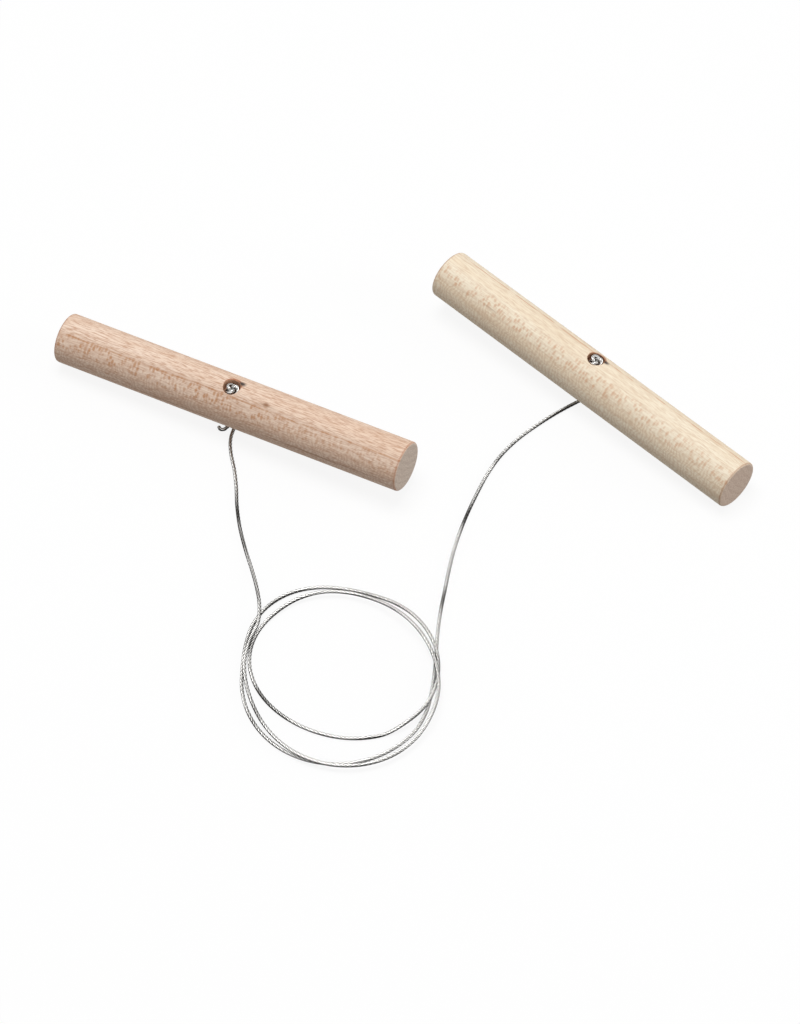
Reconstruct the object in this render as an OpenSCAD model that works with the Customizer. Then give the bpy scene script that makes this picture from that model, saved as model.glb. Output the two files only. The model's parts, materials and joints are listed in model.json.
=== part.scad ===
// A clay cutter: two wooden dowel handles joined by one stranded steel wire.
// It lies on a table as it does between uses, with most of the wire in a loose coil.
// Millimetres, +Z up, the table at z = 0. The origin is on the table, under the middle
// of the box around the two handles. The coil lies in front, towards -Y.

/* [Handles] */
// Length of each dowel
handle_length = 95; // [75:1:120]
// Diameter of each dowel
handle_d = 12.7; // [11:0.1:16]
// Radius of the softened edge at both ends of a dowel
end_round = 0.6; // [0.2:0.1:1.5]

/* [Cross holes] */
// Room in the hole beyond two wires side by side
bore_room = 1.2; // [0.9:0.1:1.6]
// Depth of the knot's seat below the top of the dowel
seat_depth = 2.4; // [2.2:0.1:4]
// How far the left hole is drilled off the middle line, away from the coil
left_hole_off = -0.6; // [-1:0.1:1]
// How far the right hole is drilled off the middle line, away from the coil
right_hole_off = 1.5; // [-1:0.1:1.8]

/* [Wire] */
// Diameter of the stranded wire
wire_d = 0.9; // [0.7:0.05:1.1]
// Space between the lead and the tail, side by side in the left hole
pair_gap = 0.2; // [0.1:0.05:0.3]
// Space between a wire and the edge of the hole where it bends out underneath
mouth_clearance = 0.03; // [0.02:0.01:0.2]
// Space between the wire on the table and the handle lying across it
under_gap = 0.8; // [0.65:0.05:1.5]
// Radius of the tighter bend of the cut tail
tail_bend = 2; // [1.6:0.1:2.4]
// How much thinner the wire is pulled in a knot
knot_squeeze = 0.1; // [0.05:0.01:0.15]
// Space between a knot and the side of its seat
knot_clearance = 0.25; // [0.2:0.05:0.5]
// Space between a knot and the floor of its seat
knot_rest_gap = 0.12; // [0.1:0.02:0.3]

/* [Coil] */
// Mean radius of the loops
coil_radius = 23; // [20:0.1:26]
// Space between one strand and the next where they cross
strand_gap = 0.45; // [0.42:0.01:0.6]

/* [Places on the table] */
// Middle of the left handle, seen from above
left_place = [-40.65, -7.5]; // [-60:0.05:60]
// Turn of the left handle, its right end towards the coil
left_turn = 27.5; // [0:0.5:60]
// Middle of the right handle, seen from above
right_place = [46.7, 0]; // [-60:0.05:60]
// Turn of the right handle, its right end towards the coil
right_turn = 43; // [0:0.5:60]
// Middle of the coil, seen from above
coil_place = [-14, -83.5]; // [-100:0.1:60]

/* [Hidden] */

left_wood = "#c9a384";
right_wood = "#d8bd98";
steel = "#c4c7c9";

handle_r = handle_d/2;
wire_r = wire_d/2;
over = 1; // how far a cut runs past the face that it opens

// One end of each handle rests on the table and the wire lifts its middle, so it lies tilted
lift = wire_d + under_gap;
tilt = asin(lift/(handle_length/2 - end_round));
middle_height = lift + handle_r*cos(tilt);

// A knot is a tight trefoil. Its line runs round a middle circle while it swings in and out
// and rises and falls three times, each by so many wire diameters.
knot_wire_d = wire_d - knot_squeeze;
knot_circle = 1.31*knot_wire_d;
knot_swing = 0.63*knot_wire_d;
knot_rise = 0.69*knot_wire_d;
knot_half = knot_rest_gap + knot_rise + knot_wire_d/2; // its middle, above the seat's floor

// The cross hole takes two wires, and its seat takes the knot
bore_d = 2*wire_d + bore_room;
seat_d = 2*(knot_circle + knot_swing + knot_clearance) + knot_wire_d;
seat_floor = handle_r - seat_depth;

// The lead and tail lie side by side in the left hole, so far off its middle
pair_off = (wire_d + pair_gap)/2;
// A lead bends out on the largest radius that clears the edge of the hole underneath
mouth_room = sqrt(pow(bore_d/2 - wire_r - mouth_clearance, 2) - pow(pair_off, 2));
mouth_height = lift - wire_r;
exit_bend = mouth_room + mouth_height + sqrt(2*mouth_room*mouth_height);

// Each handle as [place, turn, tip, hole offset]: the left one rests on its far end,
// the right one on the end nearest the coil
left = [left_place, left_turn, -tilt, left_hole_off];
right = [right_place, right_turn, tilt, right_hole_off];

// A point or direction of a handle's own frame, turned as the handle lies
function tipped(b, p) = [p.x*cos(b) + p.z*sin(b), p.y, p.z*cos(b) - p.x*sin(b)];
function turned(a, p) = [p.x*cos(a) - p.y*sin(a), p.x*sin(a) + p.y*cos(a), p.z];
function as_laid(h, p) = turned(-h[1], tipped(h[2], p));
function in_place(h, p) = [h[0].x, h[0].y, middle_height] + as_laid(h, p);

// Straight up a hole, and the point where a hole's middle line is at a given height
function hole_way(h) = as_laid(h, [0, 0, 1]);
function hole_point(h, z) =
    let (middle = in_place(h, [0, h[3], 0]), way = hole_way(h))
    middle + way*(z - middle.z)/way.z;

// Routes along the table, as heights above the lowest that the wire can lie.
// Each starts where its bend ends, on a heading in degrees from +X.
lead_left_heading = 252;
lead_right_heading = 213;
tail_heading = 225;
// From the left bend to the coil. It climbs to cross over the coil's edge.
left_route = [[-41.7, -14, 0], [-41.5, -17.5, 0], [-40.6, -22.5, 0], [-40, -28, 0], [-39.7, -34, 0],
              [-38.9, -40.5, 0], [-37.4, -47.5, 0], [-35.7, -54, 0.3], [-34.4, -60, 0.9],
              [-33.7, -65.3, 1.3]];
// From the coil to the right bend, flat on the table
right_route = [[8.1, -84, 0], [8.5, -78, 0], [8.9, -72, 0], [9.6, -66, 0], [10.6, -60, 0],
               [11.6, -54, 0], [12.8, -48, 0], [14.4, -42, 0], [16.4, -36, 0], [18.7, -30, 0],
               [21.3, -24, 0], [24.6, -18.3, 0], [28.9, -13.1, 0], [33.7, -8.7, 0], [38.6, -4.8, 0]];
// From the tail's bend to its cut end, which curls back under the handle
tail_route = [[-43, -9.9, 0], [-43.6, -10.2, 0], [-44.3, -10, 0], [-44.6, -9.3, 0.1]];

// The coil: angles in degrees, counted on from one loop to the next
coil_start = 146;
coil_end = 1064;
// Where the loops swell out or draw in: angle, half width, distance
swells = [[146, 20, 1], [280, 90, 6], [405, 75, -2.5], [600, 100, -4], [845, 60, 3],
          [980, 100, 4.5], [1064, 30, -1]];
// Where a loop lies one strand higher: starts to rise, is up, starts to fall, is down
layers = [[126, 146, 452, 512], [303, 326, 398, 446], [655, 678, 750, 812]];

// A smooth hump of height 1 at c that is gone at c - w and c + w
function hump(a, c, w) = abs(a - c) < w ? (1 + cos(180*(a - c)/w))/2 : 0;
// A smooth step from 0 at a = from to 1 at a = to
function step(a, from, to) = (1 - cos(180*max(0, min(1, (a - from)/(to - from)))))/2;
function total(v) = v*[for (x = v) 1];

function coil_reach(a) = coil_radius + total([for (s = swells) s[2]*hump(a, s[0], s[1])]);
function coil_height(a) =
    wire_r + (wire_d + strand_gap)
    * total([for (s = layers) step(a, s[0], s[1])*(1 - step(a, s[2], s[3]))]);
function coil_point(a) =
    [coil_place.x + coil_reach(a)*cos(a), coil_place.y + coil_reach(a)*sin(a), coil_height(a)];

function unit(v) = v/norm(v);

// The coil's line: a straight stretch of one wire diameter, the loops, and another stretch
rings_a_turn = 24;
coil_rings = round((coil_end - coil_start)/360*rings_a_turn);
coil_loops = [for (i = [0:coil_rings]) coil_point(coil_start + (coil_end - coil_start)*i/coil_rings)];
coil_in = unit(coil_point(coil_start + 1) - coil_point(coil_start));
coil_out = unit(coil_point(coil_end) - coil_point(coil_end - 1));
coil_first = coil_loops[0] - wire_d*coil_in;
coil_last = coil_loops[coil_rings] + wire_d*coil_out;
coil_line = concat([coil_first], coil_loops, [coil_last]);

// Points round a bend that starts straight down at p and ends along the heading
function bend_points(p, heading, r) =
    [for (a = [0:22.5:90]) p + r*[(1 - cos(a))*cos(heading), (1 - cos(a))*sin(heading), -sin(a)]];

// A wire from the middle of its knot, down the hole and round its bend onto the table
function down_hole(h, side, heading, r) =
    concat([in_place(h, [0, h[3], seat_floor + knot_half]) + side,
            hole_point(h, (seat_floor + middle_height + wire_r + r)/2) + side],
           bend_points(hole_point(h, wire_r + r) + side, heading, r));

function backward(p) = [for (i = [len(p) - 1:-1:0]) p[i]];
function raised(route) = [for (p = route) p + [0, 0, wire_r]];

// A point between b and c on the smooth curve through a, b, c and d
function curve_point(a, b, c, d, t) =
    0.5*((2*b) + (c - a)*t + (2*a - 5*b + 4*c - d)*t*t + (3*b - a - 3*c + d)*t*t*t);
// A route with one more point between every two of its own
function smoothed(p) =
    let (n = len(p) - 1)
    [for (i = [0:n]) for (t = i < n ? [0, 0.5] : [0])
        t == 0 ? p[i] : curve_point(p[max(i - 1, 0)], p[i], p[i + 1], p[min(i + 2, n)], t)];

// Where the wires lie. Next to the coil, each lead has one more point in line with the coil's
// end, so that the two meet face to face.
lead_left_line =
    concat(down_hole(left, [pair_off, 0, 0], lead_left_heading, exit_bend),
           smoothed(raised(left_route)), [coil_first - wire_d*coil_in, coil_first]);
lead_right_line =
    concat([coil_last, coil_last + wire_d*coil_out], smoothed(raised(right_route)),
           backward(down_hole(right, [0, 0, 0], lead_right_heading, exit_bend)));
tail_line = concat(down_hole(left, [-pair_off, 0, 0], tail_heading, tail_bend),
                   smoothed(raised(tail_route)));

knot_rings = 60;
knot_line = [for (i = [0:knot_rings - 1])
    let (t = 360*i/knot_rings, out = knot_circle + knot_swing*cos(3*t))
    [out*cos(2*t), out*sin(2*t), knot_rise*sin(3*t)]];

// Directions for the rings of a tube along line p: the way ahead at each point, and a
// direction square to it that is carried from ring to ring so that the tube doesn't twist
function ahead(p, i) = unit(p[min(i + 1, len(p) - 1)] - p[max(i - 1, 0)]);
function square_to(v, way) = unit(v - (v*way)*way);
function ring_sides(p, first) =
    [for (i = 0, n = square_to(first, ahead(p, 0)); i < len(p);
          i = i + 1, n = i < len(p) ? square_to(n, ahead(p, i)) : n) n];
// One ring of count corners, square to the way ahead
function ring(centre, way, side, r, count) =
    [for (k = [0:count - 1]) let (a = 360*(k + 0.5)/count)
        centre + r*cos(a)*side + r*sin(a)*cross(way, side)];

// A solid tube of count sides along line p
module tube(p, r, count, first) {
    side = ring_sides(p, first);
    last = (len(p) - 1)*count;
    points = [for (i = [0:len(p) - 1]) each ring(p[i], ahead(p, i), side[i], r, count)];
    walls = [for (i = [0:len(p) - 2], k = [0:count - 1])
        let (a = i*count + k, b = i*count + (k + 1)%count)
        each [[a, a + count, b], [b, a + count, b + count]]];
    ends = [for (k = [1:count - 2]) each [[0, k, k + 1], [last, last + k + 1, last + k]]];
    polyhedron(points, concat(walls, ends));
}

// A closed tube of count sides along a line that comes back to its start
module closed_tube(p, r, count) {
    n = len(p);
    way = [for (i = [0:n - 1]) unit(p[(i + 1)%n] - p[(i + n - 1)%n])];
    points = [for (i = [0:n - 1]) each ring(p[i], way[i], square_to([0, 0, 1], way[i]), r, count)];
    walls = [for (i = [0:n - 1], k = [0:count - 1])
        let (a = i*count + k, b = i*count + (k + 1)%count,
             c = (i + 1)%n*count + k, d = (i + 1)%n*count + (k + 1)%count)
        each [[a, c, b], [b, c, d]]];
    polyhedron(points, walls);
}

// Puts its children, made in a handle's own frame, where that handle lies
module laid(h) {
    translate([h[0].x, h[0].y, middle_height]) rotate([0, 0, -h[1]]) rotate([0, h[2], 0]) children();
}

// A dowel with softened ends, its cross hole and the knot's seat. Its length is along X.
module handle(hole_off) {
    end = handle_length/2 - end_round;
    rim = handle_r - end_round;
    difference() {
        rotate([0, 90, 0]) rotate([0, 0, 90]) rotate_extrude($fn = 96) polygon(concat(
            [[0, -handle_length/2]],
            [for (a = [-90:18:0]) [rim + end_round*cos(a), end_round*sin(a) - end]],
            [for (a = [0:18:90]) [rim + end_round*cos(a), end_round*sin(a) + end]],
            [[0, handle_length/2]]));
        translate([0, hole_off, -handle_r - over])
            cylinder(d = bore_d, h = handle_d + 2*over, $fn = 48);
        translate([0, hole_off, seat_floor])
            cylinder(d = seat_d, h = seat_depth + over, $fn = 48);
    }
}

module handle_left() { color(left_wood) laid(left) handle(left_hole_off); }
module handle_right() { color(right_wood) laid(right) handle(right_hole_off); }

// A stopper knot in its seat
module knot(h) {
    laid(h) translate([0, h[3], seat_floor + knot_half]) closed_tube(knot_line, knot_wire_d/2, 6);
}

module wire_knot_left() { color(steel) knot(left); }
module wire_knot_right() { color(steel) knot(right); }
module wire_tail_left() { color(steel) tube(tail_line, wire_r, 8, [1, 0, 0]); }
module wire_lead_left() { color(steel) tube(lead_left_line, wire_r, 8, [1, 0, 0]); }
module wire_lead_right() { color(steel) tube(lead_right_line, wire_r, 8, [0, 0, 1]); }
module wire_coil() { color(steel) tube(coil_line, wire_r, 6, [0, 0, 1]); }

handle_left();
handle_right();
wire_knot_left();
wire_tail_left();
wire_lead_left();
wire_coil();
wire_lead_right();
wire_knot_right();

// Measures, printed when the whole object is drawn
function line_length(p) = total([for (i = [1:len(p) - 1]) norm(p[i] - p[i - 1])]);
// Least distance between points of an open line p that are at least skip points apart
function least_apart(p, skip) =
    min([for (i = [0:len(p) - 1 - skip], j = [i + skip:len(p) - 1]) norm(p[i] - p[j])]);
function least_between(p, q) = min([for (a = p, b = q) norm(a - b)]);
coil_fine = [for (a = [coil_start:3:coil_end]) coil_point(a)];
coil_skip = 20; // points of coil_fine: a sixth of a turn
knot_skip = knot_rings/6;

union() {
    echo(tilt = tilt, middle_height = middle_height, exit_bend = exit_bend, seat_d = seat_d);
    echo(coil_least_gap = least_apart(coil_fine, coil_skip) - wire_d);
    echo(knot_least_gap = min([for (i = [0:knot_rings - 1], j = [knot_skip:knot_rings - knot_skip])
        norm(knot_line[i] - knot_line[(i + j)%knot_rings])]) - knot_wire_d);
    echo(lead_to_tail = least_between(lead_left_line, tail_line) - wire_d);
    echo(left_hole_foot = hole_point(left, 0), left_hole_way = hole_way(left));
    echo(right_hole_foot = hole_point(right, 0), right_hole_way = hole_way(right));
    echo(left_end = in_place(left, [-handle_length/2, 0, 0]), left_way = as_laid(left, [-1, 0, 0]));
    echo(right_end = in_place(right, [handle_length/2, 0, 0]), right_way = as_laid(right, [1, 0, 0]));
    echo(lengths = [for (p = [tail_line, lead_left_line, coil_line, lead_right_line]) line_length(p)]);
}
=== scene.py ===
# %% [markdown]
# # A clay cutter
# Two beech dowels joined by one stranded steel wire, lying on a table with most of the
# wire in a loose coil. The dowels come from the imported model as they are, and get their
# wood here. The wire, its two stopper knots and its cut tail are thin smooth tubes in the
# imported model, so here each is built again with real strands.

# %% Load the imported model
import json
from math import atan2, pi, radians

import bpy
import numpy as np
from mathutils import Matrix, Vector


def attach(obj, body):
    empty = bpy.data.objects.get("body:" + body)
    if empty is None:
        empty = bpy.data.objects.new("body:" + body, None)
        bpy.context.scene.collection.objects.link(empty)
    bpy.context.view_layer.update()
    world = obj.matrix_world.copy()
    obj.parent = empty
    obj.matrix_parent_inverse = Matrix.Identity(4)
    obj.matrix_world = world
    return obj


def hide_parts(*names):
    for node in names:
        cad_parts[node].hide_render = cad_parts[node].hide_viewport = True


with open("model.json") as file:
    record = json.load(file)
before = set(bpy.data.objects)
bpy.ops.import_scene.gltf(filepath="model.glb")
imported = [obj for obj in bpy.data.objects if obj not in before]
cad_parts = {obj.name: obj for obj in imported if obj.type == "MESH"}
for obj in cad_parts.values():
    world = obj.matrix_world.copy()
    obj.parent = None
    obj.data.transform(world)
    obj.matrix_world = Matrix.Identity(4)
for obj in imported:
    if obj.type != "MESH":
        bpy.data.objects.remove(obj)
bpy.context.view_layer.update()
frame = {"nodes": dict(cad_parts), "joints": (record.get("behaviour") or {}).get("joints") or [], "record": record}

MM = 0.001  # lengths are written in millimetres and made metres with this
print("nodes:", ", ".join(sorted(frame["nodes"])))

# %% [markdown]
# ## The two handles' own frames
# Grain follows the dowel, so each wood needs the dowel's middle and its three directions:
# x along the dowel, z up its cross hole and y square to both. They could be typed in, but
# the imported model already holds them: each outer end is a mount and each hole's line is a
# joint. Working from those keeps the grain on the wood if a handle is moved or made longer.

# %% Find where each handle lies
record = frame["record"]
mounts = {mount["name"]: mount for mount in record["mounts"]}
joints = {joint["name"]: joint for joint in frame["joints"]}


def handle_frame(side, outward):
    """The handle's middle, its directions as the columns of a matrix, its half length and
    how far its hole is drilled off the middle line. The mount's axis points out of the
    handle's outer end, which is its +x end if outward is 1 and its -x end if it is -1."""
    end = Vector(mounts[side + "_handle_end"]["pos_m"])
    along = Vector(mounts[side + "_handle_end"]["axis"])
    on_hole = Vector(joints[side + "_handle_swivel"]["pos_m"])
    up = Vector(joints[side + "_handle_swivel"]["axis"])
    half = (end - on_hole).dot(along)
    middle = end - half*along
    x = outward*along
    y = up.cross(x)
    return middle, Matrix((x, y, up)).transposed(), half, (on_hole - middle).dot(y)


lying = {"left": handle_frame("left", -1), "right": handle_frame("right", 1)}
for side, (middle, turn, half, hole_off) in lying.items():
    print(f"{side} handle: {2*half/MM:.1f} mm long, hole {hole_off/MM:.2f} mm off its middle line")

# %% [markdown]
# ## Camera
# The photograph looks down on the tool from the front with a long lens, so that parallel
# edges stay nearly parallel. Placing the camera first means that everything after it can be
# judged in the photograph's frame.

# %% Place the camera
camera_down = 51.8  # degrees below the horizon
looked_at = Vector((-0.13, -35.61, 0))*MM
camera_distance = 1276*MM
sensor = 36.0
lens = 184.9  # mm, on that sensor: a field of view of eleven degrees along the long side
nearest, furthest = 0.05, 20.0  # metres from the camera: nothing outside these is drawn

camera = bpy.data.objects.new("camera", bpy.data.cameras.new("camera"))
bpy.context.scene.collection.objects.link(camera)
camera.data.sensor_width = sensor
camera.data.lens = lens
camera.data.clip_start = nearest
camera.data.clip_end = furthest
camera.rotation_euler = (radians(90 - camera_down), 0, 0)
back = Matrix.Rotation(radians(90 - camera_down), 3, "X") @ Vector((0, 0, 1))
camera.location = looked_at + back*camera_distance
bpy.context.scene.camera = camera
print("camera at", [round(x, 4) for x in camera.location])

# %% [markdown]
# ## The wire's route
# The wire is one length from knot to knot: down the left hole, along the table, round two
# and a half loops, along the table again and up the right hole. A simulation could drop it
# there, but springy wire keeps the set that it got in its packet, so its route is drawn
# from the photograph, and the loops come from a formula. These are the route and the
# sizes of the imported model.

# %% Sizes of the wire and of what it goes through
wire_d = 0.9*MM
wire_r = wire_d/2
knot_wire_d = 0.8*MM  # the size that the knots' line is drawn for: pulled tight, it closes up
pair_off = 0.55*MM  # the lead and tail side by side in the left hole, off its middle
exit_bend = 3.574*MM  # the radius of a lead's bend where it comes out of its hole
tail_bend = 2*MM  # and of the tail's
seat_floor = 3.95*MM  # above the dowel's middle line
knot_half = 1.072*MM  # the knot's middle, above the seat's floor
print(f"the knots' middles are {(seat_floor + knot_half)/MM:.2f} mm above the dowels' middle lines")

# %% Points of the two leads and the tail, in millimetres on the table
lead_left_heading = 252  # degrees from x, as each comes out of its hole
lead_right_heading = 213
tail_heading = 225
left_route = [
    (-41.7, -14, 0), (-41.5, -17.5, 0), (-40.6, -22.5, 0), (-40, -28, 0), (-39.7, -34, 0),
    (-38.9, -40.5, 0), (-37.4, -47.5, 0), (-35.7, -54, 0.3), (-34.4, -60, 0.9), (-33.7, -65.3, 1.3)]
right_route = [
    (8.1, -84, 0), (8.5, -78, 0), (8.9, -72, 0), (9.6, -66, 0), (10.6, -60, 0), (11.6, -54, 0),
    (12.8, -48, 0), (14.4, -42, 0), (16.4, -36, 0), (18.7, -30, 0), (21.3, -24, 0),
    (24.6, -18.3, 0), (28.9, -13.1, 0), (33.7, -8.7, 0), (38.6, -4.8, 0)]
tail_route = [(-43, -9.9, 0), (-43.6, -10.2, 0), (-44.3, -10, 0), (-44.6, -9.3, 0.1)]
print("points on the table:", len(left_route), "left,", len(right_route), "right and",
      len(tail_route), "for the tail")

# %% [markdown]
# ## The coil
# The coil is two and a half loops of springy wire that lie on each other. It could be traced
# point by point, as the leads are, but uneven points show as kinks in a round loop. A circle
# whose radius swells at set angles stays smooth, and so does a height that eases up and down
# where one strand crosses another.

# %% The coil: its middle, mean radius, swells and layers
coil_place = (-14, -83.5)
coil_radius = 23
coil_start, coil_end = 146, 1064  # degrees, counted on through all the loops
points_a_turn = 24
layer_step = 1.35  # one strand over another: the wire and the gap between them

# Each swell is the degrees of its middle, its half width in degrees and its height
swells = np.array([
    (146, 20, 1), (280, 90, 6), (405, 75, -2.5), (600, 100, -4), (845, 60, 3), (980, 100, 4.5),
    (1064, 30, -1)])

# Each layer is the degrees where its climb starts and ends and where its descent does
layers = np.array([(126, 146, 452, 512), (303, 326, 398, 446), (655, 678, 750, 812)])


def eased(at, start, stop):
    """A smooth step: half of one minus the cosine of the share of the way, times pi."""
    return (1 - np.cos(pi*np.clip((at - start)/(stop - start), 0, 1)))/2


def humps(at, rows):
    """The sum of cosine humps at these values. Each row has a hump's middle, half width and
    height: a hump is half its height times one plus the cosine of the share off its middle."""
    middle, width, height = rows.T
    off = at[:, None] - middle
    return np.where(abs(off) < width, (1 + np.cos(pi*off/width))/2, 0) @ height


def coil_points(angles):
    """The coil's line at these angles in degrees, as rows of x, y, z in metres. The radius
    is the mean radius plus cosine humps at set angles, which make the loops differ, and the
    height is one wire radius plus one step for each layer that the strand is lifted over."""
    reach = coil_radius + humps(angles, swells)
    climb_from, climb_to, drop_from, drop_to = layers.T
    each = angles[:, None]
    rise = eased(each, climb_from, climb_to)*(1 - eased(each, drop_from, drop_to))
    turn = np.radians(angles)
    return np.stack([coil_place[0] + reach*np.cos(turn), coil_place[1] + reach*np.sin(turn),
                     wire_r/MM + layer_step*rise.sum(1)], 1)*MM


angles = np.linspace(coil_start, coil_end, round((coil_end - coil_start)/360*points_a_turn) + 1)
coil_line = coil_points(angles)
print(f"{(coil_end - coil_start)/360:.2f} loops, up to {coil_line[:, 2].max()/MM:.1f} mm high")


# %% From the knots to the table, and the whole route
bend_points = 5


def hole_point(side, height):
    """Where the middle line of a handle's cross hole is at this height above the table."""
    on_hole = Vector(joints[side + "_handle_swivel"]["pos_m"])
    up = Vector(joints[side + "_handle_swivel"]["axis"])
    return np.array(on_hole + up*(height - on_hole.z)/up.z)


def knot_place(side):
    """The middle of a handle's stopper knot, in its seat at the top of the cross hole."""
    middle, turn, _, hole_off = lying[side]
    return np.array(middle + turn @ Vector((0, hole_off, seat_floor + knot_half)))


def down_hole(side, off, heading, bend):
    """From the knot down the hole and round a quarter bend onto the table. The bend is an
    arc of a circle that starts straight down and ends along the heading."""
    angle = np.radians(np.linspace(0, 90, bend_points))[:, None]
    level = np.array([np.cos(radians(heading)), np.sin(radians(heading)), 0])
    arc = bend*((1 - np.cos(angle))*level - np.sin(angle)*np.array([0, 0, 1]))
    middle_height = lying[side][0].z
    half_way = hole_point(side, (seat_floor + middle_height + wire_r + bend)/2)
    start = hole_point(side, wire_r + bend)
    return np.vstack([knot_place(side), half_way, start + arc]) + [off, 0, 0]


def on_table(route):
    """A route's points in metres, raised by the wire's radius."""
    return np.array(route)*MM + [0, 0, wire_r]


wire_points = np.vstack([
    down_hole("left", pair_off, lead_left_heading, exit_bend), on_table(left_route), coil_line,
    on_table(right_route), down_hole("right", 0, lead_right_heading, exit_bend)[::-1]])
tail_points = np.vstack([down_hole("left", -pair_off, tail_heading, tail_bend), on_table(tail_route)])
print(len(wire_points) - len(coil_line), "points off the coil and", len(coil_line), "in it")

# %% [markdown]
# ## A smooth line through listed points
# The points are a few millimetres apart, and the strands need rings every half millimetre.
# A Bezier curve object could do this, but its handles would have to be set one by one. A
# cubic between each two points, with its slope taken from both neighbours, is smooth
# through all of them and can be worked out in one go.

# %% Smooth a line and space it evenly
samples_a_span = 16
lay_length = 6.6*MM  # one full turn of a strand round the wire
ring_step = lay_length/12  # twelve rings to each turn of the twist
tail_ring_step = 0.2*MM  # the tail bends more sharply, so its rings lie closer


def smooth_line(points, spacing):
    """Points evenly spaced along a smooth curve through the given ones. Each span is a cubic
    in the share s of its chord. Its slope at a point is the mean of the two chords' slopes,
    each weighted by the other chord's length. The table stops the curve from dipping under
    the wire's radius. It is then cut at equal lengths."""
    chord = np.linalg.norm(np.diff(points, axis=0), axis=1)[:, None]
    slope = np.diff(points, axis=0)/chord
    weight = chord[1:]/(chord[:-1] + chord[1:])
    tangent = np.vstack([slope[:1], weight*slope[:-1] + (1 - weight)*slope[1:], slope[-1:]])
    s = np.linspace(0, 1, samples_a_span, endpoint=False)[:, None, None]
    start, leaving = points[:-1], tangent[:-1]*chord
    stop, arriving = points[1:], tangent[1:]*chord
    cubic = ((2*s**3 - 3*s**2 + 1)*start + (s**3 - 2*s**2 + s)*leaving
             + (3*s**2 - 2*s**3)*stop + (s**3 - s**2)*arriving)
    fine = np.vstack([cubic.transpose(1, 0, 2).reshape(-1, 3), points[-1:]])
    fine[:, 2] = np.maximum(fine[:, 2], wire_r)
    run = np.concatenate([[0], np.cumsum(np.linalg.norm(np.diff(fine, axis=0), axis=1))])
    even = np.linspace(0, run[-1], round(run[-1]/spacing) + 1)
    return np.stack([np.interp(even, run, fine[:, k]) for k in range(3)], 1)


def length_of(line):
    """The length of a line of points: the sum of its steps."""
    return float(np.linalg.norm(np.diff(line, axis=0), axis=1).sum())


wire_line = smooth_line(wire_points, ring_step)
tail_line = smooth_line(tail_points, tail_ring_step)
print(f"wire {length_of(wire_line)/MM:.1f} mm from knot to knot, tail {length_of(tail_line)/MM:.1f} mm")

# %% [markdown]
# ## Stranded wire
# The real wire is six thin strands laid round a seventh, and its look comes from the
# grooves between them: they run round it like a rope's and give it its bright and dark
# ticks. A normal map could fake that on a round tube. Real strands are used because the
# wire is also judged close up and as a plain mesh. Only the outside of the six strands
# shows, so the wire is one closed skin: a rosette of six arcs, carried along the line and
# turned once in every lay length.

# %% The wire's section, and how it turns along the line
strands = 6
upright = 0.9  # a line that rises by more than this share of its step counts as upright
arc_angles = np.radians([-100, -60, -20, 20, 60, 100])  # round a strand's own middle


def rosette(diameter):
    """The section as complex numbers: for each of six strands, points on the outer arc of a
    circle of a sixth of the diameter, whose middle is a third of the diameter out."""
    own = diameter/3 + diameter/6*np.exp(1j*arc_angles)
    return (np.exp(2j*pi*np.arange(strands)/strands)[:, None]*own).ravel()


def sides_along(way):
    """A direction square to the line at each ring. Each is the one before it, less the part
    of it that points along the new way, so that it turns no more than the line does. The
    first is made from straight up, or from sideways where the line itself starts upwards."""
    side = np.empty_like(way)
    now = np.array([0.0, 0, 1]) if abs(way[0, 2]) < upright else np.array([1.0, 0, 0])
    for i, ahead in enumerate(way):
        now = now - (now @ ahead)*ahead
        now = now/np.linalg.norm(now)
        side[i] = now
    return side


def twist_along(line, way, side, closed):
    """How far the rosette is turned at each ring: one whole turn in every lay length. On a
    closed line the side direction comes back turned by a gap. There the whole twist is
    changed to the nearest one that lets each strand meet a strand where the line joins up."""
    step = np.linalg.norm(np.diff(np.vstack([line, line[:1]]), axis=0), axis=1)
    run = np.concatenate([[0], np.cumsum(step)])
    whole = 2*pi*run[-1]/lay_length
    if closed:
        last = side[-1] - (side[-1] @ way[0])*way[0]
        gap = atan2(last @ np.cross(way[0], side[0]), last @ side[0])
        pitch = 2*pi/strands
        whole = round((whole + gap)/pitch)*pitch - gap
    return whole*run[:-1]/run[-1]


print(len(rosette(wire_d)), "corners, out to", round(float(abs(rosette(wire_d)).max())/MM, 3), "mm")


# %% The skin of a stranded wire
def skin_faces(rings, corners, closed):
    """Quads between each two rings, and on an open wire a fan of triangles over each end,
    from a middle point that comes after all the rings."""
    here, after = np.arange(corners), (np.arange(corners) + 1) % corners
    start = (np.arange(rings if closed else rings - 1)*corners)[:, None]
    ahead = (start + corners) % (rings*corners)
    quads = np.stack([start + here, start + after, ahead + after, ahead + here], -1)
    faces = quads.reshape(-1, 4).tolist()
    if not closed:
        near = rings*corners
        last = near - corners
        faces += np.stack([after, here, np.full(corners, near)], 1).tolist()
        faces += np.stack([last + here, last + after, np.full(corners, near + 1)], 1).tolist()
    return faces


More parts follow.
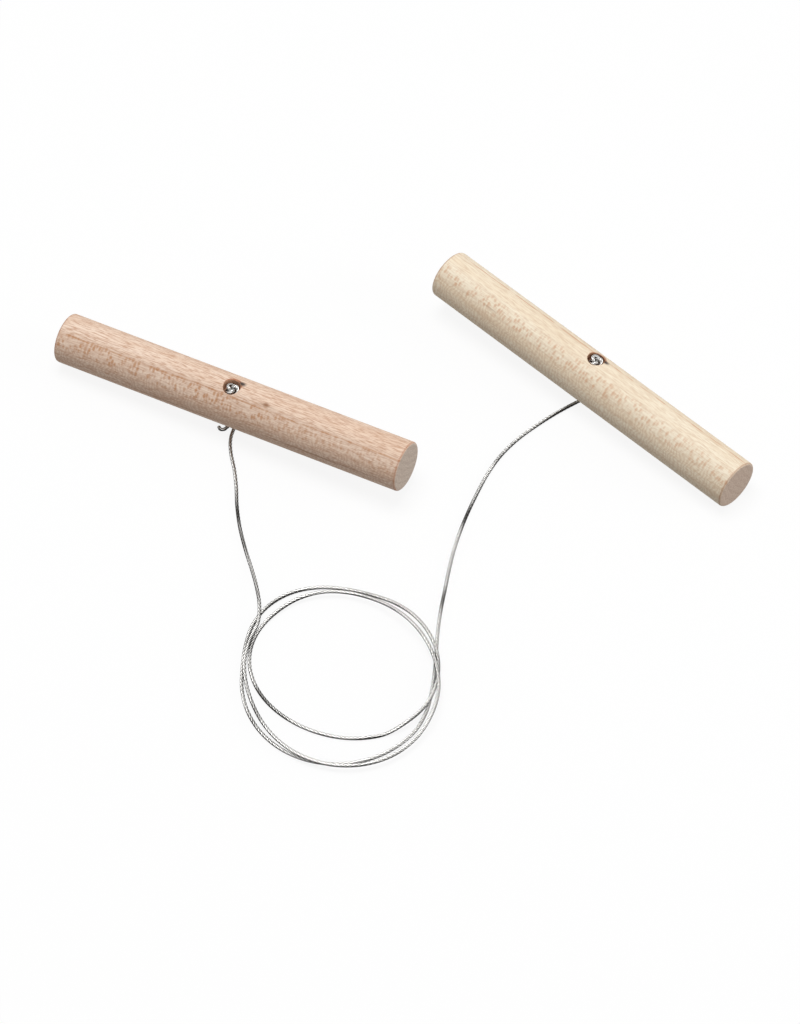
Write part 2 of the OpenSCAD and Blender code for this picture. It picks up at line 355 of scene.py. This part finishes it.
def stranded(name, line, diameter, closed=False):
    """Stranded wire along a line, as one closed mesh. A point is the line's own point plus
    the rosette's real part along the side direction and its imaginary part along the way
    ahead crossed with that, after the rosette is turned by its twist. Two values are kept
    for the steel: crown, how far a point is from the line between the least and the most,
    and upward, the height's share of the way from the line to the point."""
    way = np.roll(line, -1, 0) - np.roll(line, 1, 0) if closed else np.gradient(line, axis=0)
    way = way/np.linalg.norm(way, axis=1)[:, None]
    side = sides_along(way)
    twist = twist_along(line, way, side, closed)
    section = rosette(diameter)[None, :]*np.exp(1j*twist)[:, None]
    across = np.cross(way, side)
    outward = section.real[..., None]*side[:, None] + section.imag[..., None]*across[:, None]
    vertices = (line[:, None] + outward).reshape(-1, 3)
    outness = np.tile(np.abs(rosette(diameter)), len(line))
    upness = (outward[..., 2]/np.linalg.norm(outward, axis=2)).ravel()
    if not closed:
        vertices = np.vstack([vertices, line[:1], line[-1:]])
        outness = np.concatenate([outness, [diameter/2]*2])
        upness = np.concatenate([upness, [0, 0]])
    mesh = bpy.data.meshes.new(name)
    mesh.from_pydata(vertices.tolist(), [], skin_faces(*section.shape, closed))
    mesh.shade_smooth()
    values = {"crown": (outness - outness.min())/np.ptp(outness), "upward": upness}
    for kind, value in values.items():
        mesh.attributes.new(kind, "FLOAT", "POINT").data.foreach_set("value", value)
    made = bpy.data.objects.new(name, mesh)
    bpy.context.scene.collection.objects.link(made)
    print(f"{name}: {len(line)} rings, {len(mesh.polygons)} faces")
    return made


# %% [markdown]
# ## Make the wire and its tail
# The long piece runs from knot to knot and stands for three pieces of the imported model: both
# leads and the coil. The tail is the short end that comes back down through the left hole,
# and curls where the cutters bent it.

# %% Wire and tail
wire = stranded("stranded_wire", wire_line, wire_d)
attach(wire, "wire")
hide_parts("wire_lead_left", "wire_coil", "wire_lead_right")

tail = stranded("wire_tail", tail_line, wire_d)
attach(tail, "wire")
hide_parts("wire_tail_left")

# %% [markdown]
# ## The stopper knots
# Each end is pulled into a tight overhand knot that can't pass the hole. Its true line is a
# trefoil, the simplest knot there is, and in the photograph its three lobes show as bright
# loops in the dark hole. The line runs round a middle circle twice while it swings in and
# out and rises and falls three times. Both knots and the tail are attached to the wire's
# body.

# %% Knots
knot_circle = 1.31*knot_wire_d  # the middle circle's radius
knot_swing = 0.63*knot_wire_d  # how far the line swings in and out of it
knot_rise = 0.69*knot_wire_d  # and up and down
knot_rings = 180


def stopper_knot(name, side, node):
    """The trefoil: its distance out is the circle plus the swing times the cosine of three
    turns, at twice the angle, and its height is the rise times the sine of three turns. The
    handle's directions turn it, and its place in the seat moves it."""
    turn = np.linspace(0, 2*pi, knot_rings, endpoint=False)
    out = knot_circle + knot_swing*np.cos(3*turn)
    own = np.stack([out*np.cos(2*turn), out*np.sin(2*turn), knot_rise*np.sin(3*turn)], 1)
    line = own @ np.array(lying[side][1]).T + knot_place(side)
    made = stranded(name, line, wire_d, closed=True)
    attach(made, "wire")
    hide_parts(node)
    return made


knots = [stopper_knot("knot_left", "left", "wire_knot_left"),
         stopper_knot("knot_right", "right", "wire_knot_right")]

# %% The pieces attached to the wire's body
print("carried by the cord:", ", ".join(piece.name for piece in (tail, *knots)))

# %% [markdown]
# ## Material helpers
# Every material is a small tree of nodes. Colours are written as they look on a screen, and
# one function turns them to the linear values that the renderer adds up. One more function
# adds a node, sets it and links it, so that a tree reads from top to bottom. Borders in wood
# and on steel are soft, so they are drawn by a Map Range node that eases.

# %% Colours and nodes
smooth = {"interpolation_type": "SMOOTHSTEP"}  # how a Map Range node goes over a border


def linear(hex_colour):
    """sRGB hex to linear red, green, blue and an alpha of one: a straight part near black
    and a power of 2.4 above it."""
    screen = np.array([int(hex_colour[i:i + 2], 16) for i in (1, 3, 5)])/255
    return (*np.where(screen <= 0.04045, screen/12.92, ((screen + 0.055)/1.055)**2.4), 1.0)


def new_material(name):
    """An empty material, its node tree and its shader, which is already joined to the
    output."""
    material = bpy.data.materials.new(name)
    material.use_nodes = True
    tree = material.node_tree
    return material, tree, tree.nodes["Principled BSDF"]


def add(tree, kind, inputs, **settings):
    """Adds a node and gives back its first output. inputs are its sockets' values in order,
    or a dict of them by name or number. Each is a plain value or another node's output.
    settings are the node's own choices."""
    node = tree.nodes.new("ShaderNode" + kind)
    for name, value in settings.items():
        setattr(node, name, value)
    if not isinstance(inputs, dict):
        inputs = dict(enumerate(inputs))
    for socket, value in inputs.items():
        if isinstance(value, bpy.types.NodeSocket):
            tree.links.new(value, node.inputs[socket])
        else:
            node.inputs[socket].default_value = value
    return node.outputs[0]


print(f"a middle grey on the screen is {linear('#808080')[0]:.3f} of white in light")

# %% [markdown]
# ## Beech
# Both handles are bare beech, turned to dowel and sanded. Beech is pale and close grained.
# Four things make it beech to the eye: thin darker growth rings that run along the dowel,
# short brown flecks where the rays of the wood are cut along their height, a silky ripple
# below them, and fine fibre streaks. A wave texture gives stripes but no flecks, so the
# trunk itself is modelled: the dowel is a stick sawn so far from the trunk's heart, the rings
# are the distance from the heart, and each ray is a small blot drawn out towards it. Where
# the dowel's surface faces along the rays, flecks appear in a band, as in the photograph.
#
# Each part of the wood gets a function of its own. It gives that part's share at a point,
# from zero where it doesn't show to one where it hides what is under it. All sizes are in
# millimetres on the real dowel.

# %% A point of the wood, in the dowel and in the trunk
dowel_radius = 6.35
heart_distance = 34.0  # from the dowel's middle to the trunk's heart
slow_sway = (0, 2.6, 2.6)  # how far the grain wanders over a few centimetres: x, y and z
quick_sway = (0.5, 0.7, 0.7)  # and over a few millimetres


def streaks(tree, own, along, across, detail, roughness=0.5, shift=(0, 0, 0)):
    """Noise drawn out along the grain, with so many cells to the millimetre along the dowel
    and across it. shift moves it, so that the two dowels differ."""
    at = add(tree, "Mapping", {"Vector": own, "Scale": (along, across, across),
                               "Location": shift}, vector_type="POINT")
    return add(tree, "TexNoise", {"Vector": at, "Scale": 1.0, "Detail": detail,
                                  "Roughness": roughness})


def dowel_point(tree, side):
    """The point in its dowel's own frame, in millimetres: as one vector, as its x, y and z,
    and as an angle round the dowel. The angle is the arc tangent of z over -y, so it counts
    from the dowel's front towards its top."""
    middle, turn, *_ = lying[side]
    where = add(tree, "TexCoord", {}).node.outputs["Object"]
    own = add(tree, "Mapping", (where, middle, turn.to_euler(), (MM, MM, MM)),
              vector_type="TEXTURE")
    spot = add(tree, "SeparateXYZ", (own,)).node.outputs
    front = add(tree, "Math", (spot["Y"], -1.0), operation="MULTIPLY")
    return own, spot, add(tree, "Math", (spot["Z"], front), operation="ARCTAN2")


def trunk_point(tree, own, fleck_angle, seed):
    """The point as it lay in the trunk: how far along it, round it and out from its heart,
    which lies a right angle on from where the flecks show. Two noises sway the point first.
    Their values are given too, for other parts of the wood to share."""
    sway = streaks(tree, own, 0.035, 0.12, 2.0, shift=(seed, seed*0.7, 0))
    ripple = streaks(tree, own, 0.35, 0.5, 1.0)
    swayed = own
    for noise, reach in ((sway, slow_sway), (ripple, quick_sway)):
        swayed = add(tree, "VectorMath", (noise.node.outputs["Color"], reach, swayed),
                     operation="MULTIPLY_ADD")
    heart = radians(fleck_angle + 90)
    off_heart = (0, heart_distance*np.cos(heart), -heart_distance*np.sin(heart))
    from_heart = add(tree, "VectorMath", (swayed, off_heart), operation="ADD")
    along, *apart = add(tree, "SeparateXYZ", (from_heart,)).node.outputs
    flat = add(tree, "CombineXYZ", (0.0, *apart))
    out = add(tree, "VectorMath", (flat,), operation="LENGTH").node.outputs["Value"]
    turned = add(tree, "VectorRotate", {"Vector": flat, "Axis": (1, 0, 0), "Angle": heart - pi/2},
                 rotation_type="AXIS_ANGLE")
    level = add(tree, "SeparateXYZ", (turned,)).node.outputs
    angle = add(tree, "Math", (level["Y"], level["Z"]), operation="ARCTAN2")
    around = add(tree, "Math", (angle, heart_distance), operation="MULTIPLY")
    return (along, around, out), sway, ripple


print(f"the dowel is {np.degrees(2*dowel_radius/heart_distance):.0f} degrees wide from the heart")

# %% [markdown]
# ## Growth rings
# A ring is one year of the trunk. Stripes drawn along the dowel would stop at its ends, so
# the distance from the heart is cut into years instead, and the same rings run down the side
# and show as arcs on the sawn faces. One brown line that stands out is drawn by itself.

# %% Growth rings and one brown growth line
ring_width = 1.7  # from one ring to the next
pale_until, late_full, late_end = 0.35, 0.97, 0.975  # shares of a year
line_wander = 0.16  # radians that the growth line sways round the dowel
line_full, line_end = 0.012, 0.05  # radians off the line: its full strength, and nothing
line_share = 0.75


def growth_rings(tree, own, out):
    """A year is the fraction of the distance from the heart in ring widths. Its pale early
    wood darkens towards a thin line at its end. Gives how late in the year the wood is, and
    the rings' share, which is that times a patchy noise."""
    years = add(tree, "Math", (out, 1/ring_width), operation="MULTIPLY")
    year = add(tree, "Math", (years,), operation="FRACT")
    darkening = add(tree, "MapRange", (year, pale_until, late_full), **smooth)
    until_end = add(tree, "MapRange", (year, late_end, 1.0, 1.0, 0.0), **smooth)
    late = add(tree, "Math", (darkening, until_end), operation="MULTIPLY")
    patchy = add(tree, "MapRange", (streaks(tree, own, 0.05, 0.35, 1.0), 0.45, 0.8, 0.05, 0.5),
                 **smooth)
    return late, add(tree, "Math", (late, patchy), operation="MULTIPLY")


def growth_line(tree, angle, line_angle, sway, ripple):
    """A line along the dowel at an angle round it. It wanders with the slow sway, and the
    quick one breaks it here and there."""
    off = add(tree, "Math", (angle, radians(line_angle) + line_wander/2), operation="SUBTRACT")
    wander = add(tree, "Math", (sway, line_wander), operation="MULTIPLY")
    off = add(tree, "Math", (off, wander), operation="ADD")
    off = add(tree, "Math", (off,), operation="ABSOLUTE")
    near = add(tree, "MapRange", (off, line_full, line_end, line_share, 0.0), **smooth)
    unbroken = add(tree, "MapRange", (ripple, 0.3, 0.6, 0.25, 1.0), **smooth)
    return add(tree, "Math", (near, unbroken), operation="MULTIPLY")


print(f"{2*dowel_radius/ring_width:.1f} growth rings across the dowel")

# %% [markdown]
# ## Flecks
# Rays run out from the heart like spokes, and show as flecks where the dowel's surface cuts
# them along their height. Dots painted on the dowel wouldn't follow its grain, so a Voronoi
# texture in the trunk's own directions gives each ray a cell.

# %% Flecks where the rays are cut
ray_cell = (0.85, 1.0, 1.6)  # the size of each ray's cell along the trunk, round it and out
band_full, band_end = 9, 26  # degrees off the band's middle: all flecks, and none
change_from, change_to = 8.0, 20.0  # where along the dowel one strength goes over to the other
fleck_full, fleck_end = 0.2, 0.55  # off a ray, in cells: the whole fleck, and none of it
halo_start, halo_full = 0.42, 0.62  # likewise: none of its halo, and all of it
bold_from, bold_to = -0.2, 0.75  # of a ray's random red: no fleck, and one of full strength
halo_share = 0.28


def ray_flecks(tree, trunk, spot, angle, fleck_angle, strengths):
    """Each ray has a random place and a cell of its own round it, and the cell's random
    colour makes some faint. A fleck is where the point is near that place, and its pale halo
    is where the point is far from it. Both show only in a band down the dowel. The flecks
    have one strength at the dowel's left and one at its right."""
    scaled = [add(tree, "Math", (place, 1/size), operation="MULTIPLY")
              for place, size in zip(trunk, ray_cell)]
    ray = add(tree, "TexVoronoi", {"Vector": add(tree, "CombineXYZ", scaled), "Scale": 1.0,
                                   "Randomness": 0.8})
    random_red = add(tree, "SeparateColor", (ray.node.outputs["Color"],))
    off = add(tree, "Math", (angle, radians(fleck_angle)), operation="SUBTRACT")
    off = add(tree, "Math", (off,), operation="ABSOLUTE")
    band = add(tree, "MapRange", (off, radians(band_full), radians(band_end), 1.0, 0.0), **smooth)
    fleck = add(tree, "MapRange", (ray, fleck_full, fleck_end, 1.0, 0.0), **smooth)
    bold = add(tree, "MapRange", (random_red, bold_from, bold_to), **smooth)
    strength = add(tree, "MapRange", (spot["X"], change_from, change_to, *strengths), **smooth)
    for factor in (bold, band, strength):
        fleck = add(tree, "Math", (fleck, factor), operation="MULTIPLY")
    halo = add(tree, "MapRange", (ray, halo_start, halo_full), **smooth)
    for factor in (band, halo_share):
        halo = add(tree, "Math", (halo, factor), operation="MULTIPLY")
    return fleck, halo


print(f"the fleck band is {radians(2*band_end)*dowel_radius:.1f} mm wide")

# %% [markdown]
# ## Silky figure
# Below the flecks the wood has a silky ripple across its grain. Noise alone looks like cloud,
# so the ripple is a wave along the dowel, which a noise bows.

# %% Silky figure below the flecks
figure_step = 1.0  # from one ripple to the next
figure_bow = 3.2  # how far a ripple bows along the dowel
figure_share = 0.38
figure_full, figure_end = -20, 12  # degrees from the fleck band's middle: all of it, and none


def silky_figure(tree, own, spot, angle, fleck_angle, seed):
    """Ripples below the fleck band: the sine of the place along the dowel plus a noise that
    bows them."""
    bow = streaks(tree, own, 0.3, 0.55, 1.0, shift=(0, seed, 0))
    bowed = add(tree, "Math", (bow, figure_bow, spot["X"]), operation="MULTIPLY_ADD")
    phase = add(tree, "Math", (bowed, 2*pi/figure_step), operation="MULTIPLY")
    sine = add(tree, "Math", (phase,), operation="SINE")
    ripples = add(tree, "MapRange", (sine, -1.0, 1.0, 0.0, figure_share), **smooth)
    full, none = radians(fleck_angle + figure_full), radians(fleck_angle + figure_end)
    below = add(tree, "MapRange", (angle, full, none, 1.0, 0.0), **smooth)
    return add(tree, "Math", (ripples, below), operation="MULTIPLY")


print(f"{1/figure_step:.0f} silky ripple to the millimetre")

# %% [markdown]
# ## Sawn ends, holes and marks
# The sawn ends show the same rings end on, greyer and darker because open end grain soaks
# up dirt and light. The saw burnt a thin band round each end, and the drill the rim of each
# hole. They could be painted on the mesh, but the imported mesh has too few points for soft
# edges, so each is worked out from the distance to the dowel's end or to the hole's line.
# What belongs to this one tool alone is laid on as marks, each a soft blot at a place, and so is a dark blot of
# painted shade at each hole's rim.

# %% Sawn ends
burnt_inner, burnt_outer = (0.6, 0.35), (0.2, 0.05)  # inwards from the end: where its edges ease
face_start, face_full = 0.12, 0.03  # inwards from the end: none of the face's colour, and all
burnt_share = 0.45
ring_on_end = 0.35  # how strongly the growth rings show on the sawn face


def sawn_ends(tree, own, spot, late, half, tone):
    """The burnt band's share, the sawn face's share and the face's colour: end grain speckled
    with pores and ringed with late wood. All go by how far out along the dowel the point
    is. The pores are four tenths of a millimetre wide, as coarse as the render needs."""
    out = add(tree, "Math", (spot["X"],), operation="ABSOLUTE")
    end = half/MM
    rising, falling = [[end - inwards for inwards in edge] for edge in (burnt_inner, burnt_outer)]
    band_inner = add(tree, "MapRange", (out, *rising), **smooth)
    band_outer = add(tree, "MapRange", (out, *falling, burnt_share, 0.0), **smooth)
    burnt = add(tree, "Math", (band_inner, band_outer), operation="MULTIPLY")
    face = add(tree, "MapRange", (out, end - face_start, end - face_full), **smooth)
    pores = add(tree, "MapRange", (streaks(tree, own, 0.0, 2.6, 3.0, 0.7), 0.35, 0.7), **smooth)
    grain = add(tree, "MixRGB", (pores, tone["end_pale"], tone["end_dark"]))
    ringed = add(tree, "Math", (late, ring_on_end), operation="MULTIPLY")
    return burnt, face, add(tree, "MixRGB", (ringed, grain, tone["end_dark"]))


print(f"the sawn faces are {lying['left'][2]/MM:.1f} mm out from the dowel's middle")

# %% Holes
seat_radius = 2.2
scorch_back = (0, 0.45, 0)  # the scorch lies further back than the hole
scorch_ragged = 0.6
scorch_full, scorch_end = 0.25, 0.65  # outside the seat's radius: all of the scorch, and none
scorch_share = 0.9
inside_full, inside_end = -0.02, 0.1  # the same for the colour of the hole's inside


def hole_shares(tree, spot, ripple, hole_off):
    """The shares of the scorch round the hole and of the hole's inside. Both go by the
    distance from the hole's line, and a noise makes the scorch ragged."""
    off = add(tree, "Math", (spot["Y"], hole_off/MM), operation="SUBTRACT")
    flat = add(tree, "CombineXYZ", (spot["X"], off, 0.0))
    moved = add(tree, "VectorMath", (flat, scorch_back), operation="SUBTRACT")
    from_hole, from_scorch = [
        add(tree, "VectorMath", (offset,), operation="LENGTH").node.outputs["Value"]
        for offset in (flat, moved)]
    ragged = add(tree, "Math", (ripple, scorch_ragged, from_scorch), operation="MULTIPLY_ADD")
    scorch = add(tree, "MapRange", (ragged, seat_radius + scorch_full, seat_radius + scorch_end,
                                    scorch_share, 0.0), **smooth)
    inside = add(tree, "MapRange", (from_hole, seat_radius + inside_full, seat_radius + inside_end,
                                    1.0, 0.0), **smooth)
    return scorch, inside


print(f"a scorch round a hole {2*seat_radius} mm wide")

# %% Marks
blot_full, blot_end = 0.2, 1.1  # off a blot's place, in its own widths: all of it, and none


def on_side(x, angle):
    """A point on the dowel's side, x along it and an angle from its front towards its top."""
    return (x, -dowel_radius*np.cos(radians(angle)), dowel_radius*np.sin(radians(angle)))


def marked(tree, wood, own, place, along, across, share, colour):
    """The wood with one soft blot on it, so wide along the dowel and across it. The blot
    fades with the distance from its place, each way in its own width."""
    at = add(tree, "Mapping", {"Vector": own, "Location": place,
                               "Scale": (along, across, across)}, vector_type="TEXTURE")
    off = add(tree, "VectorMath", (at,), operation="LENGTH").node.outputs["Value"]
    blot = add(tree, "MapRange", (off, blot_full, blot_end, share, 0.0), **smooth)
    return add(tree, "MixRGB", (blot, wood, linear(colour)))


print("the middle of the dowel's top is at", [round(float(v), 2) for v in on_side(0, 90)])

# %% [markdown]
# ## Put the beech together
# The parts are laid over each other from the broadest to the smallest. Fibre comes twice, as
# long faint streaks and as short strong dashes, a third and a quarter of a millimetre wide,
# as coarse as the render needs to show them. Sanded wood is matt, and its fibres stand a few
# hundredths of a millimetre proud.

# %% Beech material
sanded_roughness = 0.62
wood_ior = 1.45
fibre_height = 0.04*MM
fibre_strength = 0.35  # of the bump that stands for it


def side_layers(tree, tone, own, spot, angle, fleck_angle, fleck_strengths, dash_strength,
                line_angle, seed):
    """The side grain as pairs of a share and a colour, from the broadest to the smallest,
    and with them the fibre, the late wood and the quick sway, which other parts use."""
    trunk, sway, ripple = trunk_point(tree, own, fleck_angle, seed)
    body = streaks(tree, own, 0.02, 0.22, 2.0, shift=(0, seed, seed))
    fibre = streaks(tree, own, 0.09, 3.0, 3.0, 0.6)
    dashes = streaks(tree, own, 0.42, 4.0, 2.0, 0.6, (seed, 0, 0))
    late, rings = growth_rings(tree, own, trunk[2])
    fleck, halo = ray_flecks(tree, trunk, spot, angle, fleck_angle, fleck_strengths)
    layers = [
        (add(tree, "MapRange", (body, 0.3, 0.7, 0.0, 0.5), **smooth), tone["dark"]),
        (add(tree, "MapRange", (fibre, 0.3, 0.7, 0.0, 0.5), **smooth), tone["dark"]),
        (add(tree, "MapRange", (dashes, 0.4, 0.68, 0.0, dash_strength), **smooth), tone["ring"]),
        (rings, tone["ring"]),
        (silky_figure(tree, own, spot, angle, fleck_angle, seed), tone["ring"]),
        (growth_line(tree, angle, line_angle, sway, ripple), tone["fleck"]),
        (halo, tone["pale"]),
        (fleck, tone["fleck"])]
    return layers, fibre, late, ripple


def beech(name, side, tones, marks, **grain):
    """Beech for one handle. tones are its colours by name, and each mark is a place, two
    widths, a share and a colour. The grain is given by fleck_angle and line_angle, which are
    where round the dowel its flecks and its growth line run, in degrees from its front
    towards its top, by how strong its flecks are at both ends and its dashes all over, and
    by a seed that sets its noises apart from the other dowel's."""
    *_, half, hole_off = lying[side]
    material, tree, shader = new_material(name)
    tone = {part: linear(colour) for part, colour in tones.items()}
    own, spot, angle = dowel_point(tree, side)
    layers, fibre, late, ripple = side_layers(tree, tone, own, spot, angle, **grain)
    burnt, face, end_grain = sawn_ends(tree, own, spot, late, half, tone)
    scorch, inside = hole_shares(tree, spot, ripple, hole_off)
    wood = tone["pale"]
    for share, cover in [*layers, (burnt, tone["burnt"]), (face, end_grain), (scorch, tone["burnt"])]:
        wood = add(tree, "MixRGB", (share, wood, cover))
    for mark in marks:
        wood = marked(tree, wood, own, *mark)
    wood = add(tree, "MixRGB", (inside, wood, tone["hole"]))
    tree.links.new(wood, shader.inputs["Base Color"])
    shader.inputs["Roughness"].default_value = sanded_roughness
    shader.inputs["IOR"].default_value = wood_ior
    raised = add(tree, "Math", (fibre, late), operation="ADD")
    bump = add(tree, "Bump", {"Height": raised, "Strength": fibre_strength,
                               "Distance": fibre_height})
    tree.links.new(bump, shader.inputs["Normal"])
    return material


print(f"the fibres stand {fibre_height/MM:.2f} mm proud")

# %% [markdown]
# ## The two handles' wood
# The left dowel is the pinker one. It has a small dead knot to the right of its hole, with a
# streak along the grain on both sides of it, two long streaks down its front, and a broad
# darker band along its growth line. The right one has a short streak near its left end. Each
# hole has a dark blot of painted shade at one side of its rim.

# %% Dress the handles
late_wood = "#845020"
# a dark neutral colour of painted shade, laid at each hole's rim
hole_rim_painted_shade = "#3f332c"
left_wood = beech(
    "beech_sanded_pinkish", "left",
    dict(pale="#fae4d1", dark="#e7c6ab", ring="#c6997b", fleck="#c28657", end_pale="#e6d5c5",
         end_dark="#bda796", burnt="#a96643", hole="#d0a384"),
    [(on_side(10.25, 72), 1.1, 0.8, 0.7, late_wood),
     (on_side(10.25, 70), 3.2, 0.4, 0.35, late_wood),
     # painted shade at the rim of the hole
     (on_side(1.85, 101), 1.5, 1.0, 1.0, hole_rim_painted_shade),
     (on_side(26, -1), 20, 0.45, 0.4, late_wood),
     (on_side(-14, -12), 18, 0.5, 0.35, late_wood),
     (on_side(0, 60), 75, 1.9, 0.15, late_wood)],
    fleck_angle=45, fleck_strengths=(0.7, 0.3), dash_strength=0.85, line_angle=60, seed=3.1)
right_wood = beech(
    "beech_sanded_pale", "right",
    dict(pale="#fff4de", dark="#f1dcbf", ring="#d2b291", fleck="#d39d75", end_pale="#e8d2bf",
         end_dark="#bfa38f", burnt="#a96d4c", hole="#b98a68"),
    # painted shade at the rim of the hole
    [(on_side(2.2, 113), 1.5, 0.9, 1.0, hole_rim_painted_shade),
     (on_side(-30, 50), 2.5, 0.3, 0.3, late_wood)],
    fleck_angle=57, fleck_strengths=(0.55, 0.5), dash_strength=0.5, line_angle=118, seed=8.4)
for node, wood in (("handle_left", left_wood), ("handle_right", right_wood)):
    piece = frame["nodes"][node]
    piece.data.materials.clear()
    piece.data.materials.append(wood)
    print(node, "has", wood.name, "and", len(piece.data.polygons), "faces")

# %% [markdown]
# ## Steel
# The wire is drawn stainless steel. Drawing leaves it smooth, so it is close to a mirror
# with a little blur. The grooves between the strands get painted shade: the skin's own
# crown value, one on a strand's back and zero in a groove, darkens the shade there that the
# render is too coarse to resolve. The strands' backs keep the steel's bright colour on top,
# and the wire's flanks are darkened with painted shade. The skin's upward value decides that,
# and a noise shifts the border, so that some stretches get more painted shade. The knots get
# only a fifth of that painted shade on their flanks, so they stay bright nearly all round.

# %% Steel materials
stretches_a_metre = 70.0  # cells of the noise: about one to every 14 mm of wire
stretch_shift = -1.8  # how far the noise shifts the border of the flanks' painted shade, on the scale of upward
groove_end, back_start = 0.45, 0.9  # the crown where the grooves' painted shade starts to go, and is gone
flank_shade_full, flank_shade_end = -0.45, 0.0  # the shifted upward where the flanks' painted shade is whole, and gone


def steel(name, painted_groove_tone, back_tone, painted_flank_tone, painted_flank_share, roughness):
    """Stranded steel: a colour of painted shade in the grooves, the steel's own colour on the
    strands' backs and a colour of painted shade on the wire's flanks, whose share is the flank share where it is
    whole."""
    material, tree, shader = new_material(name)
    crown, upward = (add(tree, "Attribute", {}, attribute_name=kept).node.outputs["Fac"]
                     for kept in ("crown", "upward"))
    where = add(tree, "TexCoord", {}).node.outputs["Object"]
    stretch = add(tree, "TexNoise", {"Vector": where, "Scale": stretches_a_metre, "Detail": 1.0})
    # painted shade on the wire's flanks: the lower a point's upward value, shifted by the noise, the darker
    shifted = add(tree, "Math", (stretch, stretch_shift, upward), operation="MULTIPLY_ADD")
    flank_painted_shade = add(tree, "MapRange", (shifted, flank_shade_full, flank_shade_end, painted_flank_share, 0.0), **smooth)
    # painted shade in the grooves between the strands, set by the crown value
    on_back = add(tree, "MapRange", (crown, groove_end, back_start), **smooth)
    backs_and_grooves = add(tree, "MixRGB", (on_back, linear(painted_groove_tone), linear(back_tone)))
    tree.links.new(add(tree, "MixRGB", (flank_painted_shade, backs_and_grooves, linear(painted_flank_tone))), shader.inputs["Base Color"])
    shader.inputs["Metallic"].default_value = 1.0
    shader.inputs["Roughness"].default_value = roughness
    return material


# both steels get painted shade on their flanks, and the knots get only a fifth of it
wire_steel = steel("stainless_steel_drawn_stranded", "#35322f", "#f3f2ef", "#2a2826", 1.0, 0.2)
knot_steel = steel("stainless_steel_knots_faint_painted_shade", "#3a3734", "#f3f2ef", "#151312", 0.2, 0.3)
for piece in (wire, tail):
    piece.data.materials.append(wire_steel)
for piece in knots:
    piece.data.materials.append(knot_steel)
print("steel on", ", ".join(piece.name for piece in (wire, tail, *knots)))

# %% [markdown]
# ## Table and light
# The photograph has a pure white ground and even studio light from above and behind, which
# leaves the lower half of each dowel in soft shade. One large soft lamp does that over a
# plain grey sky, and a weaker one from the right lights the sawn ends. A white floor would
# fill the shade with the light that it bounces, so this one is dark grey to the lamps, gives
# the object a weak glow from below, and gets the rest of its white only as the camera, metal
# and glass see it. The handles' soft shadows on it stay.

# %% White paper floor
floor_size = 3.0  # metres
corner = floor_size/2
floor_mesh = bpy.data.meshes.new("floor")
floor_mesh.from_pydata([(-corner, -corner, 0), (corner, -corner, 0), (corner, corner, 0),
                        (-corner, corner, 0)], [], [(0, 1, 2, 3)])
floor = bpy.data.objects.new("floor", floor_mesh)
bpy.context.scene.collection.objects.link(floor)


def seen(tree):
    """One for rays from the camera and for those that metal or glass sends on: the greatest
    of the three."""
    path = add(tree, "LightPath", {}).node.outputs
    most = path["Is Camera Ray"]
    for ray in ("Is Glossy Ray", "Is Transmission Ray"):
        most = add(tree, "Math", (most, path[ray]), operation="MAXIMUM")
    return most


paper_own = 0.12  # the share of its light that the floor reflects
paper_added = 0.88  # the rest of white, for what is seen
paper_bounce = 0.15  # what it gives the object besides, where nothing shades it
paper_roughness = 0.9
paper, tree, shader = new_material("white_paper_floor")
shader.inputs["Base Color"].default_value = (paper_own, paper_own, paper_own, 1)
shader.inputs["Roughness"].default_value = paper_roughness
shader.inputs["Specular IOR Level"].default_value = 0.0
shader.inputs["Emission Color"].default_value = (1, 1, 1, 1)
tree.links.new(add(tree, "MapRange", (seen(tree), 0.0, 1.0, paper_bounce, paper_added), **smooth),
               shader.inputs["Emission Strength"])
floor_mesh.materials.append(paper)
print(f"the floor is {paper_own + paper_added:.2f} of white as the camera sees it")

# %% Sky
sky_light = 0.38  # what falls on the object, where the camera sees one
world = bpy.data.worlds.new("studio")
bpy.context.scene.world = world
world.use_nodes = True
tree = world.node_tree
sky = tree.nodes["Background"]
sky.inputs["Color"].default_value = (1, 1, 1, 1)
tree.links.new(add(tree, "MapRange", (seen(tree), 0.0, 1.0, sky_light, 1.0), **smooth),
               sky.inputs["Strength"])
print("sky of", sky_light)


# %% Lamps
def soft_lamp(name, place, size, power):
    """A round lamp turned towards the object, its place and size in metres and its power in
    watts."""
    data = bpy.data.lights.new(name, "AREA")
    data.shape = "DISK"
    data.size = size
    data.energy = power
    lamp = bpy.data.objects.new(name, data)
    bpy.context.scene.collection.objects.link(lamp)
    lamp.location = place
    lamp.rotation_euler = (-lamp.location).to_track_quat("-Z", "Y").to_euler()
    print(f"{name}: {power} W from {lamp.location.length:.2f} m away")


soft_lamp("lamp_above", (-0.1, 0.08, 1.14), 0.7, 7.6)
soft_lamp("lamp_right", (1.1, -0.25, 0.35), 0.6, 3.3)
bpy.context.scene.view_settings.view_transform = "Standard"
